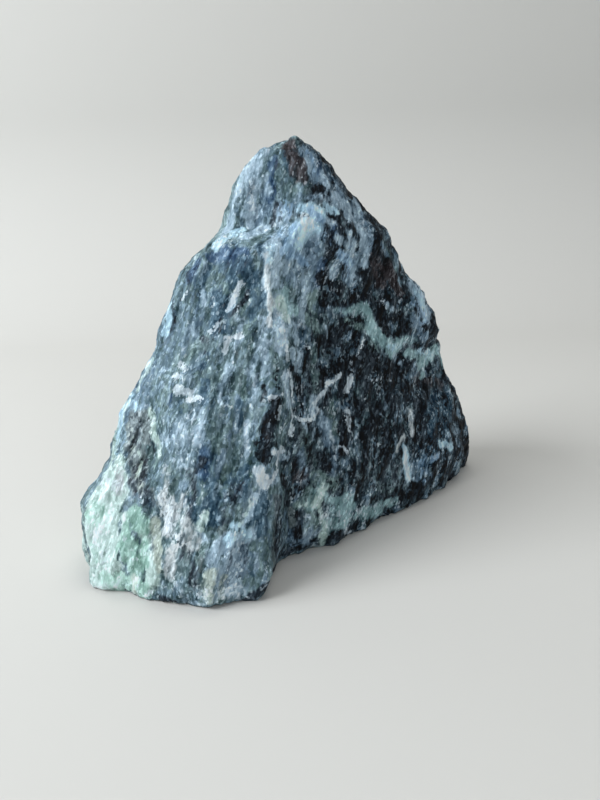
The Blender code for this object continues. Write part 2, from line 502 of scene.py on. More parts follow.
    mint_vein: tuple[Group, ...] = (
        (MOSS, (9, 0.7, (348, 320), (362, 328)), (8, 0.6, (370, 343), (375, 352))),
        (SLATE, (10, 0.5, (316, 308), (344, 312))),
        (BLACK, (14, 0.25, (352, 312), (400, 348)), (9, 0.7, (388, 318), (402, 316)),
         (7, 0.6, (400, 296), (396, 306))),
        (PALE, (7, 0.6, (386, 302), (392, 310)), (8, 0.5, (394, 354), (400, 364)),
         (4, 0.6, (326, 326), (328, 336)), (8, 0.6, (368, 312), (374, 330))),
        (DEEP_MINT, (9, 0.85, (408, 353), (424, 357)), (7, 0.4, (336, 310), (352, 312)),
         (9, 0.7, (352, 310), (366, 308)), (12, 0.85, (366, 308), (370, 324)),
         (12, 0.85, (372, 328), (381, 342)), (14, 0.9, (388, 348), (398, 346)),
         (8, 0.5, (400, 340), (414, 340)), (13, 1, (420, 362), (434, 352)),
         (6, 1, (424, 372), (420, 378))),
        (ICE, (6, 0.6, (418, 352), (428, 352)), (7, 0.65, (388, 347), (398, 346)),
         (5, 0.45, (424, 360), (434, 354))),
        (TALC, (12, 0.3, (352, 312), (400, 348)), (5, 0.45, (380, 299), (386, 308))),
    )
    right_edge: tuple[Group, ...] = (
        (SLATE, (12, 0.8, (414, 320), (424, 336)), (9, 0.6, (430, 300), (434, 312))),
        (TEAL, (10, 0.6, (404, 332), (416, 338))),
        (IRON, (12, 0.45, (416, 380), (440, 384))),
        (BLACK, (6, 0.8, (434, 316), (438, 340)), (24, 0.85, (346, 366), (385, 372), (400, 366)),
         (6, 0.5, (277, 356), (279, 374))),
        (PALE, (16, 0.95, (414, 286), (428, 314))),
        (ICE, (8, 0.5, (416, 292), (424, 308))),
        (BLUE, (9, 0.4, (414, 300), (424, 320))),
    )
    dark_flecks: tuple[Group, ...] = (
        (DEEP_MOSS, (18, 0.4, (350, 390), (380, 400)), (16, 0.4, (356, 452), (378, 478))),
        (MOSS, (12, 0.7, (332, 404), (334, 446)), (10, 0.6, (314, 350), (316, 390)),
         (16, 0.4, (302, 430), (312, 460))),
        (SLATE, (9, 0.7, (410, 458), (416, 478)), (12, 0.6, (336, 440), (334, 472)),
         (10, 0.6, (300, 452), (304, 470)), (14, 0.7, (322, 420), (328, 440))),
        (BLACK, (12, 0.85, (368, 383), (392, 386)), (16, 0.6, (418, 438), (430, 452)),
         (14, 0.5, (350, 478), (376, 486)), (12, 0.7, (282, 478), (290, 496)),
         (12, 0.5, (330, 345), (348, 350)), (8, 0.6, (302, 400), (302, 412)),
         (8, 0.6, (300, 430), (304, 440)), (12, 1, (277, 402), (274, 424)),
         (15, 1, (267, 424), (265, 456)), (9, 1, (299, 380), (302, 400)),
         (28, 0.7, (372, 396), (382, 440)), (16, 0.5, (366, 452), (376, 484)),
         (8, 0.4, (350, 412), (356, 428))),
        (PALE, (5, 0.6, (302, 420), (306, 432)), (8, 0.75, (300, 351), (300, 369)),
         (6, 0.55, (312, 426), (314, 438)), (9, 0.8, (275, 451), (287, 457)),
         (8, 0.5, (334, 378), (322, 394)), (14, 0.6, (314, 402), (318, 424)),
         (7, 0.4, (328, 420), (333, 462)), (8, 0.6, (292, 352), (296, 370)),
         (12, 0.85, (286, 376), (289, 404)), (5, 0.5, (290, 420), (284, 434))),
        (ICE, (4, 0.5, (351, 378), (347, 390))),
        (TALC, (4, 0.9, (312, 419), (318, 412)), (3.5, 0.6, (332, 408), (336, 416)),
         (4, 1.03, (282, 408), (279, 420)), (14, 0.2, (277, 396), (270, 446)),
         (16, 0.16, (326, 272), (364, 300)), (8, 0.65, (347, 413), (350, 427)),
         (14, 0.28, (332, 404), (336, 446)), (4, 0.69, (304, 344), (309, 348)),
         (4, 0.57, (315, 342), (316, 350)), (3, 0.35, (312, 350), (316, 374)),
         (3.5, 0.62, (365, 342), (356, 354), (350, 362)), (7, 1.2, (351, 378), (347, 390)),
         (4, 1.2, (340, 374), (328, 384), (320, 396)), (4, 1.03, (320, 396), (314, 404), (318, 410)),
         (4, 1.06, (291, 412), (300, 420), (312, 419)), (3.5, 0.69, (330, 428), (332, 444), (336, 464)),
         (4, 0.88, (340, 445), (347, 452)), (3, 0.4, (342, 400), (350, 418)),
         (3, 0.4, (316, 426), (319, 438)), (4, 0.92, (287, 346), (288, 360)),
         (5, 0.92, (288, 370), (292, 386), (292, 404)), (5, 0.86, (292, 412), (290, 434)),
         (4, 0.75, (284, 424), (280, 432)), (3, 0.45, (364, 398), (366, 404)),
         (3, 0.4, (376, 390), (379, 396)), (3, 0.45, (370, 466), (382, 462)),
         (3, 0.4, (376, 442), (382, 448)), (3, 0.3, (392, 394), (394, 406)),
         (30, 0.05, (340, 400), (350, 450))),
    )
    pale_run: tuple[Group, ...] = (
        (DEEP_MOSS, (8, 0.5, (284, 464), (290, 480))),
        (MOSS, (8, 0.6, (268, 484), (262, 500))),
        (PALE, (14, 0.8, (258, 471), (266, 484)), (10, 0.6, (266, 486), (276, 478))),
        (ICE, (6, 0.5, (256, 470), (264, 482))),
        (TALC, (11, 1.1, (258, 471), (266, 484)), (6, 1, (274, 452), (284, 450)),
         (6, 1.1, (278, 454), (277, 464)), (6, 1.1, (272, 480), (276, 472))),
    )
    right_end: tuple[Group, ...] = (
        (SLATE, (8, 0.7, (424, 470), (430, 474))),
        (TEAL, (14, 0.65, (442, 408), (446, 460)), (22, 0.9, (434, 400), (426, 456)),
         (14, 0.8, (448, 402), (450, 424))),
        (BLACK, (9, 0.6, (462, 446), (452, 462)), (8, 0.7, (440, 470), (426, 482))),
        (PALE, (8, 0.6, (410, 466), (413, 478)), (7, 0.5, (446, 432), (452, 442)),
         (7, 0.55, (454, 428), (458, 444))),
        (PINK, (6, 0.65, (411, 410), (412, 434)), (6, 0.7, (404, 436), (398, 450))),
        # Painted glint: the bright bluish ice and talc streak at (405 to 409, 450 to 478) on the dark face is
        # a talc fleck painted brighter and bluer than its own colour, partly a painted glint.
        (ICE, (9, 1.1, (405, 450), (409, 478)), (8, 0.7, (441, 444), (451, 446))),
        (BLUE, (14, 0.3, (420, 460), (424, 476)), (6, 0.6, (432, 460), (438, 454))),
        (TALC, (8, 0.35, (424, 462), (450, 444)), (10, 0.25, (414, 468), (424, 474)),
         (3, 0.3, (410, 412), (408, 438)), (7, 0.95, (405, 450), (409, 478))),
    )
    dark_base: tuple[Group, ...] = (
        (MOSS, (16, 0.9, (318, 478), (334, 484)), (10, 0.9, (298, 504), (312, 504)),
         (12, 0.9, (322, 490), (312, 508)), (16, 0.8, (308, 494), (314, 530)),
         (10, 0.6, (376, 486), (390, 490))),
        (SLATE, (10, 0.6, (286, 516), (290, 536)), (14, 0.6, (338, 516), (352, 508)),
         (8, 0.7, (286, 540), (306, 542))),
        (EARTH, (8, 0.8, (290, 508), (292, 524))),
        (IRON, (12, 0.6, (296, 478), (304, 474))),
        (BLACK, (20, 0.3, (320, 518), (384, 506)), (8, 0.6, (300, 488), (302, 497))),
        (PALE, (8, 0.6, (338, 526), (348, 524)), (12, 0.6, (306, 538), (320, 530))),
        (DEEP_MINT, (12, 0.7, (318, 492), (330, 500)), (10, 0.6, (336, 502), (350, 498)),
         (10, 0.6, (308, 504), (316, 508)), (15, 0.8, (336, 514), (352, 506)),
         (16, 0.8, (328, 524), (346, 520)), (12, 0.8, (358, 514), (380, 510)),
         (10, 0.75, (376, 508), (394, 500))),
        (PALE_MINT, (9, 0.7, (324, 488), (316, 504)), (8, 0.7, (318, 504), (324, 522), (322, 544)),
         (6, 0.5, (298, 504), (312, 504))),
        (BLUE, (4, 0.5, (290, 544), (310, 546))),
        (TALC, (4, 1, (356, 511), (361, 512)), (5, 0.85, (345, 530), (350, 532)),
         (22, 0.4, (322, 520), (360, 512)), (14, 0.25, (360, 514), (392, 502))),
    )
    foot: tuple[Group, ...] = (
        (DEEP_MOSS, (11, 0.9, (253, 508), (252, 524)), (8, 0.6, (194, 500), (190, 514)),
         (7, 0.6, (268, 520), (268, 560))),
        (SLATE, (24, 0.8, (238, 548), (234, 584))),
        (EARTH, (10, 0.7, (182, 540), (188, 550)), (12, 0.5, (214, 520), (222, 532)),
         (10, 0.7, (278, 500), (274, 540)), (8, 0.7, (274, 545), (272, 580))),
        (TEAL, (8, 0.8, (252, 510), (252, 522)), (15, 1, (204, 506), (216, 520)),
         (7, 0.6, (254, 552), (252, 572)), (13, 0.95, (263, 494), (260, 532))),
        # Painted shade: the coal streaks down the foot's right side (x 273 to 278), along its lower right
        # edge (289,550 to 244,602) and along the bottom edge (x 108 to 174) are painted shade and painted
        # contact shadow.
        (COAL, (13, 0.7, (278, 500), (276, 556)),
         (9, 1.05, (289, 550), (276, 570), (262, 588), (244, 602)), (8, 0.95, (108, 590), (138, 594)),
         (8, 1.05, (164, 599), (174, 603)), (10.5, 0.53, (277, 498), (273, 548)),
         (12.5, 0.53, (192, 556), (194, 582)), (30, 0.23, (240, 545), (226, 580))),
        (PALE, (9, 0.65, (157, 574), (160, 584)), (9, 0.65, (231, 562), (232, 584)),
         (7, 0.85, (184, 601), (198, 604)), (5, 0.5, (218, 486), (214, 498)),
         (14, 0.6, (206, 596), (240, 590)), (5, 0.8, (256, 494), (250, 512), (242, 526)),
         (13, 1, (250, 536), (232, 541), (216, 547)), (14, 0.85, (213, 558), (217, 582)),
         (22, 0.6, (240, 545), (224, 582)), (4, 0.85, (257, 552), (255, 572)),
         (10, 0.7, (196, 534), (206, 540))),
        (PALE_MINT, (5, 0.35, (250, 502), (238, 528)), (7, 0.8, (204, 512), (200, 528))),
        (ICE, (9, 0.65, (236, 525), (248, 537)), (8, 0.5, (242, 532), (226, 542))),
        (TALC, (20, 0.45, (206, 595), (240, 592)), (26, 0.26, (240, 545), (224, 580))),
    )
    white_run: tuple[Group, ...] = (
        (MOSS, (14, 0.8, (190, 550), (196, 580))),
        (EARTH, (8, 0.5, (200, 560), (198, 584))),
        (COAL, (8, 0.58, (190, 511), (188, 523)), (8, 0.47, (182, 536), (184, 556))),
        (PALE, (7, 0.6, (176, 584), (188, 598))),
        (CREAM, (12, 0.6, (212, 575), (208, 600)), (8, 0.5, (224, 578), (220, 600))),
        (PINK, (17, 0.85, (168, 498), (169, 530)), (11, 0.75, (172, 548), (169, 576)),
         (8, 0.45, (166, 470), (166, 490)), (12, 0.5, (183, 500), (186, 530)),
         (12, 0.8, (186, 522), (194, 544))),
        (TALC, (14, 0.6, (168, 498), (168, 524)), (12, 0.6, (170, 522), (178, 542)),
         (6, 0.35, (164, 462), (168, 494)), (14, 0.3, (182, 506), (192, 544)),
         (5, 0.5, (182, 592), (190, 602))),
    )
    grey_band: tuple[Group, ...] = (
        (DEEP_MOSS, (10, 0.8, (134, 424), (132, 446)), (4, 0.7, (125, 425), (128, 456)),
         (5, 0.8, (146, 422), (150, 450), (148, 480)), (12, 1, (133, 474), (138, 492), (150, 508)),
         (7, 0.7, (152, 500), (157, 518))),
        (EARTH, (12, 0.85, (146, 416), (147, 438)), (16, 0.8, (136, 418), (134, 446)),
         (16, 0.9, (136, 456), (138, 486)), (8, 0.6, (152, 490), (158, 506))),
        (COAL, (14, 0.38, (134, 416), (136, 446)), (14, 0.44, (140, 464), (147, 502)),
         (4.5, 0.53, (130, 446), (136, 480)), (3.5, 0.53, (150, 430), (152, 452)),
         (7, 0.53, (132, 480), (136, 494))),
        (PALE_MINT, (4, 0.6, (138, 440), (140, 474)), (8, 0.9, (151, 412), (155, 440), (158, 456))),
        (CREAM, (8, 0.25, (130, 428), (142, 492))),
        (TALC, (5, 0.5, (152, 416), (157, 450))),
    )
    mint_end: tuple[Group, ...] = (
        (EARTH, (9, 0.9, (154, 522), (156, 558))),
        (PALE_MINT, (9, 0.9, (124, 516), (126, 532)), (11, 1, (144, 531), (146, 546)),
         (11, 0.8, (121, 404), (115, 440), (111, 466)), (22, 1.2, (108, 480), (92, 505)),
         (34, 1.2, (104, 500), (104, 545), (106, 580)), (14, 1.1, (119, 462), (120, 500)),
         (14, 1.1, (150, 560), (148, 585)), (11, 1.2, (155, 568), (156, 584))),
        (MINT, (18, 0.9, (122, 581), (142, 589)), (9, 0.6, (88, 514), (96, 520)),
         (12, 0.7, (106, 578), (118, 588)), (9, 0.7, (144, 540), (144, 560))),
        (JADE, (11, 0.5, (94, 502), (104, 514)), (16, 0.95, (134, 514), (142, 524)),
         (18, 1, (128, 548), (134, 566)), (12, 0.8, (126, 528), (128, 545)),
         (6, 0.5, (92, 545), (96, 560)), (9, 0.8, (145, 546), (146, 564))),
        (CREAM, (9, 0.9, (154, 524), (158, 548)), (7, 0.7, (156, 550), (160, 572))),
        (PINK, (8, 0.7, (119, 470), (121, 492))),
        (ICE, (8, 0.5, (124, 410), (117, 450))),
        (BLUE, (8, 0.35, (124, 404), (120, 424))),
        (TALC, (12, 0.5, (104, 480), (118, 486)), (14, 0.4, (98, 536), (104, 560)),
         (6, 0.5, (140, 590), (152, 594))),
    )
    left_edge: tuple[Group, ...] = (
        (SLATE, (10, 0.5, (150, 385), (140, 405))),
        (PALE_MINT, (7, 0.6, (150, 358), (138, 388))),
        (ICE, (8, 0.5, (130, 395), (136, 408))),
    )

    def listed(self) -> list[tuple[Mineral, Streak]]:
        """Lists the streaks.

        Returns:
            Every streak after its mineral, in the order in which the minerals are named.
        """
        order = list(Mineral)
        groups = [group for part in fields(self) for group in getattr(self, part.name)]
        groups.sort(key=lambda group: order.index(group[0]))
        return [(mineral, streak) for mineral, *streaks in groups for streak in streaks]


class Bench:
    """Lays out a material's nodes."""

    def __init__(self, material: bpy.types.Material) -> None:
        """Starts from the material's own node tree."""
        self.tree = material.node_tree

    def feed(self, socket: Socket, value: object) -> None:
        """Fills an input.

        Args:
            socket: The input.
            value: The socket that it is linked to, or its own plain value.
        """
        if isinstance(value, Socket):
            self.tree.links.new(value, socket)
        else:
            socket.default_value = value

    def node(self, kind: str, feeds: dict[int | str, object], **settings: object) -> bpy.types.Node:
        """Adds a node.

        Args:
            kind: What Blender calls it.
            feeds: What its inputs are filled with, by number or name.
            **settings: Its settings.

        Returns:
            The node.
        """
        made = self.tree.nodes.new(kind)
        for name, value in settings.items():
            setattr(made, name, value)
        for key, value in feeds.items():
            self.feed(made.inputs[key], value)
        return made

    def math(self, operation: str, *values: object) -> Socket:
        """Arithmetic on up to three values."""
        return self.node("ShaderNodeMath", dict(enumerate(values)), operation=operation).outputs[0]

    def vector(self, operation: str, *values: object) -> Socket:
        """Arithmetic on up to three vectors or colours."""
        return self.node("ShaderNodeVectorMath", dict(enumerate(values)), operation=operation).outputs[0]

    def weighed(self, base: object, *terms: tuple[Socket, float]) -> Socket:
        """Adds up weighed terms.

        Args:
            base: What they are added to.
            *terms: Each term with its weight.

        Returns:
            The sum.
        """
        for value, weight in terms:
            base = self.math("MULTIPLY_ADD", value, weight, base)
        return base

    def mask(self, name: str) -> Socket:
        """The value of a mask that the skin's points hold."""
        return self.node("ShaderNodeAttribute", {}, attribute_name=name).outputs["Fac"]

    def ease(self, value: Socket, low: float, high: float, start: float = 0.0, end: float = 1.0) -> Socket:
        """A soft step of value between low and high, from start to end."""
        feeds = dict(enumerate((value, low, high, start, end)))
        return self.node("ShaderNodeMapRange", feeds, interpolation_type="SMOOTHSTEP").outputs[0]

    def blend(self, amount: Socket, first: object, second: object) -> Socket:
        """Mixes two colours, through the inputs and the output of a mix node that are meant for them."""
        feeds = {0: amount, 6: first, 7: second}
        return self.node("ShaderNodeMix", feeds, data_type="RGBA", clamp_factor=True).outputs[2]

    def spread(self, value: Socket) -> Socket:
        """A value in all three places of a vector."""
        return self.node("ShaderNodeCombineXYZ", {0: value, 1: value, 2: value}).outputs[0]

    def parts(self, colour: Socket) -> list[Socket]:
        """The three values of a colour."""
        return list(self.node("ShaderNodeSeparateColor", {0: colour}).outputs)

    def axes(self, grain: Grain, stretch: float) -> Socket:
        """Lays object coordinates along the grain.

        Args:
            grain: The grain.
            stretch: How many times longer than wide a pattern comes out.

        Returns:
            The coordinates, in millimetres.
        """
        place = self.node("ShaderNodeTexCoord", {}).outputs["Object"]
        feeds = {"Vector": place, "Rotation": grain.turn(), "Scale": (MM, MM, MM * stretch)}
        return self.node("ShaderNodeMapping", feeds, vector_type="TEXTURE").outputs[0]

    def noise(self, place: Socket, size: float, detail: float = 2.0, rough: float = 0.55) -> bpy.types.Node:
        """A noise node with lumps of a size in millimetres."""
        feeds = {"Vector": place, "Scale": 1.0 / size, "Detail": detail, "Roughness": rough}
        return self.node("ShaderNodeTexNoise", feeds)

    def swing(self, place: Socket, size: float, detail: float = 2.0, rough: float = 0.55) -> Socket:
        """Noise as a value that swings evenly about zero, mostly from -1 to 1."""
        return self.weighed(-2.0, (self.noise(place, size, detail, rough).outputs["Fac"], 4.0))

    def crystals(self, place: Socket, size: float) -> list[Socket]:
        """Packed crystals of a size in millimetres, as three values from 0 to 1 that each crystal draws."""
        made = self.node("ShaderNodeTexVoronoi", {"Vector": place, "Scale": 1.0 / size}, feature="F1")
        return self.parts(made.outputs["Color"])

    def wavy(self, place: Socket, size: float, reach: float) -> Socket:
        """A place pushed about by slow noise, so that straight bands wander."""
        push = self.vector("SUBTRACT", self.noise(place, size, 1.0).outputs["Color"], (0.5, 0.5, 0.5))
        return self.vector("MULTIPLY_ADD", push, (reach, reach, reach), place)


def shade(red: int, green: int, blue: int) -> Colour:
    """A colour from 0 to 255 as four numbers from 0 to 1, still on the display's scale."""
    return (red / 255.0, green / 255.0, blue / 255.0, 1.0)


@dataclass
class Crystals:
    """The patterns behind the finish: dust, small and large crystals, strands, bands and mottling.

    Their sizes are in millimetres. Each is drawn out along the grain, and all but the dust wander a little.
    """

    bench: Bench
    grain: Grain = Grain()
    dust_size: float = 0.85
    small_size: float = 1.35
    large_size: float = 3.2
    strand_size: float = 1.7
    band_size: float = 4.0
    mottle_size: float = 6.0

    def __post_init__(self) -> None:
        """Lays out the patterns' nodes."""
        bench = self.bench
        fine = bench.wavy(bench.axes(self.grain, stretch=1.5), size=2.5, reach=0.4)
        patch = bench.wavy(bench.axes(self.grain, stretch=3.0), size=9.0, reach=3.0)
        drawn = bench.wavy(bench.axes(self.grain, stretch=6.0), size=20.0, reach=5.0)
        self.bands = bench.swing(drawn, self.band_size)
        self.mottle = bench.swing(patch, self.mottle_size, detail=3.0, rough=0.6)
        self.dust = bench.crystals(bench.axes(self.grain, stretch=2.0), self.dust_size)
        self.small = bench.crystals(fine, self.small_size)
        self.large = bench.crystals(bench.wavy(patch, size=3.0, reach=1.2), self.large_size)
        self.strands = bench.parts(bench.noise(drawn, self.strand_size).outputs["Color"])


@dataclass(frozen=True)
class SoapstoneFinish:
    """Broken soapstone: black chlorite with mineral tints, talc grains and a waxy, gritty skin.

    Colours are mixed on the display's scale, where steps look even, and turned linear at the end.
    """

    chlorite: tuple[int, int, int] = (42, 54, 63)
    tints: dict[Mineral, tuple[int, int, int]] = field(
        default_factory=lambda: {
            DEEP_MOSS: (74, 95, 100),
            MOSS: (104, 127, 127),
            SLATE: (98, 121, 139),
            EARTH: (102, 115, 118),
            NAVY: (60, 84, 110),
            TEAL: (56, 80, 96),
            IRON: (54, 50, 53),
            COAL: (34, 44, 53),
            BLACK: (12, 19, 26),
            PALE: (150, 173, 189),
            DEEP_MINT: (136, 168, 172),
            PALE_MINT: (181, 205, 201),
            MINT: (164, 200, 190),
            JADE: (138, 174, 164),
            CREAM: (168, 182, 174),
            PINK: (181, 191, 195),
            ICE: (178, 212, 230),
            BLUE: (134, 165, 192),
            TALC: (202, 216, 225),
        }
    )
    darkest: Triple = (0.02, 0.035, 0.045)
    lightest: Triple = (0.85, 0.885, 0.895)
    display_gamma: float = 2.2

    # Single crystals of talc and black chlorite: when one is taken up, and how far it covers.
    grain_edge: Range = (0.92, 1.08)
    grain_fill: Range = (0.65, 0.35)
    dust_share: float = 0.5
    small_share: float = 0.5
    thin_cover: float = 0.5
    full_above: float = 0.7
    # Tints: which count as pale and as dark, and how strands and crystals tear their edges.
    pale_from: float = 125.0
    dark_to: float = 105.0
    between: float = 0.5
    strand_pull: float = 1.1
    crystal_pull: float = 0.42
    tint_edge: Range = (0.95, 1.8)
    tint_cover: float = 0.95

    # How far one swing moves the colour, and how many swings each pattern adds.
    swing: Triple = (0.07488, 0.078, 0.07956)
    base_light: float = -1.65
    large_light: float = 0.9
    small_light: float = 1.3
    mottle_light: float = 0.5
    band_light: float = 2.3
    # Painted glint: the brightest of the finest crystals are lightened in the colour as sparkle.
    sparkle_light: float = 2.8
    sparkle_edge: float = 4.0
    # Hollows painted darker and what stands out lighter: partly painted shade, partly dust and the softer
    # chlorite that lies lower.
    raised_light: float = 0.5

    # The waxy skin, and how high each pattern stands in it.
    roughness: Range = (0.48, 0.72)
    crystal_gloss: float = 0.16
    mint_gloss: float = 0.1
    specular: float = 0.14
    bump_depth: float = 0.35
    band_bump: float = 0.5
    large_bump: float = 0.8
    small_bump: float = 0.7

    def grains(self, crystals: Crystals, mineral: Mineral) -> Socket:
        """Where talc or black chlorite shows: in single crystals, which take it up by chance.

        Args:
            crystals: The patterns.
            mineral: Which of the two.

        Returns:
            How far it covers the colour beneath.
        """
        bench = crystals.bench
        held = bench.mask(mineral.value)
        part = 1 if mineral is TALC else 2
        dust, small = (crystals.dust[part], self.dust_share), (crystals.small[part], self.small_share)
        pick = bench.weighed(held, dust, small)
        least, more = self.grain_fill
        fill = bench.weighed(least, (crystals.large[part], more))
        cover = bench.math("MULTIPLY", bench.ease(held, 0.0, self.full_above, self.thin_cover), fill)
        return bench.math("MULTIPLY", bench.ease(pick, *self.grain_edge), cover)

    def tint(self, crystals: Crystals, mineral: Mineral, index: int) -> Socket:
        """Where a tint shows: softly, torn along the grain.

        Pale tints gather in the strands that dark ones leave free, and those in between care less.

        Args:
            crystals: The patterns.
            mineral: The tint's mineral.
            index: The tint's place in the list, so that neighbours draw on different values of a crystal.

        Returns:
            How far it covers the colour beneath.
        """
        bench = crystals.bench
        brightness = sum(self.tints[mineral]) / 3.0
        side = 1.0 if brightness > self.pale_from else -1.0 if brightness < self.dark_to else self.between
        tear = bench.weighed(
            0.5 * self.strand_pull * (1.0 - side),
            (crystals.strands[0], self.strand_pull * side),
            (crystals.large[index % 3], self.crystal_pull),
            (crystals.small[(index + 1) % 3], self.crystal_pull),
        )
        held = bench.math("ADD", tear, bench.mask(mineral.value))
        return bench.ease(held, *self.tint_edge, 0.0, self.tint_cover)

    def colour(self, crystals: Crystals) -> Socket:
        """Mixes the stone's colour.

        Args:
            crystals: The patterns.

        Returns:
            The linear colour.
        """
        bench = crystals.bench
        colour = shade(*self.chlorite)
        for index, (mineral, tint) in enumerate(self.tints.items()):
            single = mineral in (TALC, BLACK)
            cover = self.grains(crystals, mineral) if single else self.tint(crystals, mineral, index)
            colour = bench.blend(cover, colour, shade(*tint))

        # Crystals, bands along the grain and mottling lighten and darken everything. The brightest of the
        # finest crystals get a painted glint as sparkle, and hollows are painted darker than what stands out:
        # partly painted shade, partly dust and the softer chlorite that lies lower.
        light = bench.weighed(
            self.base_light,
            (crystals.large[0], self.large_light),
            (crystals.small[0], self.small_light),
            (crystals.mottle, self.mottle_light),
            (crystals.bands, self.band_light),
            (bench.math("POWER", crystals.dust[0], self.sparkle_edge), self.sparkle_light),
            (bench.mask("raised"), self.raised_light),
        )
        colour = bench.vector("MULTIPLY_ADD", bench.spread(light), self.swing, colour)
        colour = bench.vector("MINIMUM", bench.vector("MAXIMUM", colour, self.darkest), self.lightest)
        return bench.node("ShaderNodeGamma", {"Color": colour, "Gamma": self.display_gamma}).outputs[0]

    def build(self) -> bpy.types.Material:
        """Makes the material.

        Returns:
            The finished soapstone.
        """
        material = bpy.data.materials.new("soapstone")
        material.use_nodes = True
        bench = Bench(material)
        crystals = Crystals(bench)
        shader = material.node_tree.nodes["Principled BSDF"]
        bench.feed(shader.inputs["Base Color"], self.colour(crystals))

        rough = bench.ease(crystals.mottle, -1.0, 1.0, *self.roughness)
        smoothed = (crystals.small[1], -self.crystal_gloss), (bench.mask(PALE_MINT.value), -self.mint_gloss)
        bench.feed(shader.inputs["Roughness"], bench.weighed(rough, *smoothed))
        shader.inputs["Specular IOR Level"].default_value = self.specular

        height = bench.weighed(
            crystals.mottle,
            (crystals.bands, self.band_bump),
            (crystals.large[0], self.large_bump),
            (crystals.small[0], self.small_bump),
        )
        feeds = {"Strength": 1.0, "Distance": self.bump_depth * MM, "Height": height}
        bench.feed(shader.inputs["Normal"], bench.node("ShaderNodeBump", feeds).outputs[0])
        return material


@dataclass(frozen=True)
class Relief:
    """How the skin is broken up: stairs along the cleavage, facets, ridges along the grain, grit and furrows.

    Depths and heights are in millimetres. A face counts as the underside by how squarely it looks down and
    by how low it lies. The underside is hollowed in places, by up to the rest height.
    """

    grain: Grain = Grain()
    rough: Pattern = Pattern(7.0, 2, 21.0)
    cross: Pattern = Pattern(9.0, 1, 23.0)
    bend: float = 2.0
    stairs: Pattern = Pattern(19.0, 1, 3.0, 1.7)
    stair_count: float = 5.0
    riser: Range = (0.55, 1.0)
    stair_depth: float = 0.45
    facets: Facets = Facets()
    facet_depth: float = 0.8
    ridges: Pattern = Pattern(4.4, 2, 9.0, 5.0)
    ridge_crest: float = 0.55
    ridge_fall: float = 2.0
    ridge_depth: float = 0.55
    grit: Pattern = Pattern(2.9, 1, 11.0, 1.5)
    grit_depth: float = 0.3
    limits: Range = (-3.0, 2.2)
    downward: Range = (0.55, 0.9)
    sole_top: float = 4.0
    sole_fade: float = 3.0
    rest: Pattern = Pattern(16.0, 3, 31.0)
    rest_middle: float = 0.5
    rest_swing: float = 1.6
    rest_height: float = 1.2
    furrows: tuple[Furrow, ...] = (
        Furrow((-68, -40, 74), (-64, -70, 22), 6.0, 1.8),
        Furrow((-74, -62, 26), (-70, -74, 6), 5.0, 1.4),
        Furrow((-12, -18, 148), (-10, -26, 118), 3.0, -1.0),
        Furrow((13, 13, 196), (19, 15, 190), 8.0, 2.6),
        Furrow((85, 55, 105), (86, 53, 99), 8.0, 2.2),
        Furrow((84, 51, 89), (89, 60, 82), 7.0, -2.4),
        Furrow((1, 8, 197), (6, 9, 197), 5.0, -1.4),
        Furrow((37, 29, 170), (40, 30, 164), 7.0, 1.7),
        Furrow((-34, 9, 160), (-31, 9, 166), 6.0, -1.2),
        Furrow((-44, -3, 150), (-38, 5, 156), 5.0, 1.2),
        Furrow((97, 55, 33), (107, 55, 22), 7.0, -1.2),
        Furrow((98, 74, 60), (101, 68, 49), 9.0, 2.2),
        Furrow((-94, -20, 60), (-96, -24, 53), 8.0, 1.4),
        Furrow((8, 4, 195), (20, 10, 185), 10.0, 2.0),
        Furrow((24, 18, 178), (26, 16, 175), 7.0, -1.6),
        Furrow((36, 20, 166), (39, 21, 161), 7.0, 1.3),
        Furrow((49, 26, 151), (50, 26, 149), 6.0, -1.6),
        Furrow((81, 50, 108), (81, 45, 103), 8.0, 2.4),
        Furrow((80, 45, 91), (86, 64, 80), 9.0, -2.2),
        Furrow((95, 68, 60), (95, 57, 57), 8.0, 1.8),
        Furrow((-81, -19, 79), (-84, -25, 75), 9.0, -2.0),
        Furrow((-92, -24, 65), (-94, -31, 57), 10.0, 2.4),
        Furrow((-69, -19, 104), (-72, -22, 97), 8.0, 1.6),
        Furrow((-14, -62, 10), (-16, -74, 9), 7.0, -1.8),
        Furrow((-38, 3, 154), (-33, 2, 157), 5.0, -1.0),
    )

    def broken(self, points: np.ndarray, normals: np.ndarray) -> tuple[np.ndarray, np.ndarray]:
        """Breaks the skin up.

        Args:
            points: The skin's points in millimetres.
            normals: Their normals.

        Returns:
            The moved points, none of them below the underside, and how far each was raised.
        """
        rough = self.rough.over(points, self.grain)
        bent = points + self.bend * np.stack([rough, self.cross.over(points, self.grain), -rough], axis=1)
        stairs = self.stair_count * self.stairs.over(bent, self.grain)
        treads = np.floor(stairs) + smooth_step(*self.riser, stairs - np.floor(stairs)) - stairs
        height = self.stair_depth * (treads + 0.5)
        height += self.facet_depth * self.facets.over(bent, self.grain)
        ridges = np.abs(self.ridges.over(0.5 * (points + bent), self.grain))
        height += self.ridge_depth * (self.ridge_crest - self.ridge_fall * ridges)
        height += self.grit_depth * self.grit.over(points, self.grain)
        for furrow in self.furrows:
            height -= furrow.cut(points, rough)
        low = smooth_step(0.0, 1.0, (self.sole_top - points[:, 2]) / self.sole_fade)
        under = smooth_step(*self.downward, -normals[:, 2]) * low
        height = np.clip(height, *self.limits) * (1.0 - under)
        moved = points + normals * height[:, None]
        hollow = np.clip(self.rest_middle + self.rest_swing * self.rest.over(points, self.grain), 0.0, 1.0)
        moved[:, 2] = np.where(under > 0.5, hollow * self.rest_height, moved[:, 2])
        moved[:, 2] = np.maximum(moved[:, 2], 0.0)
        return moved, height


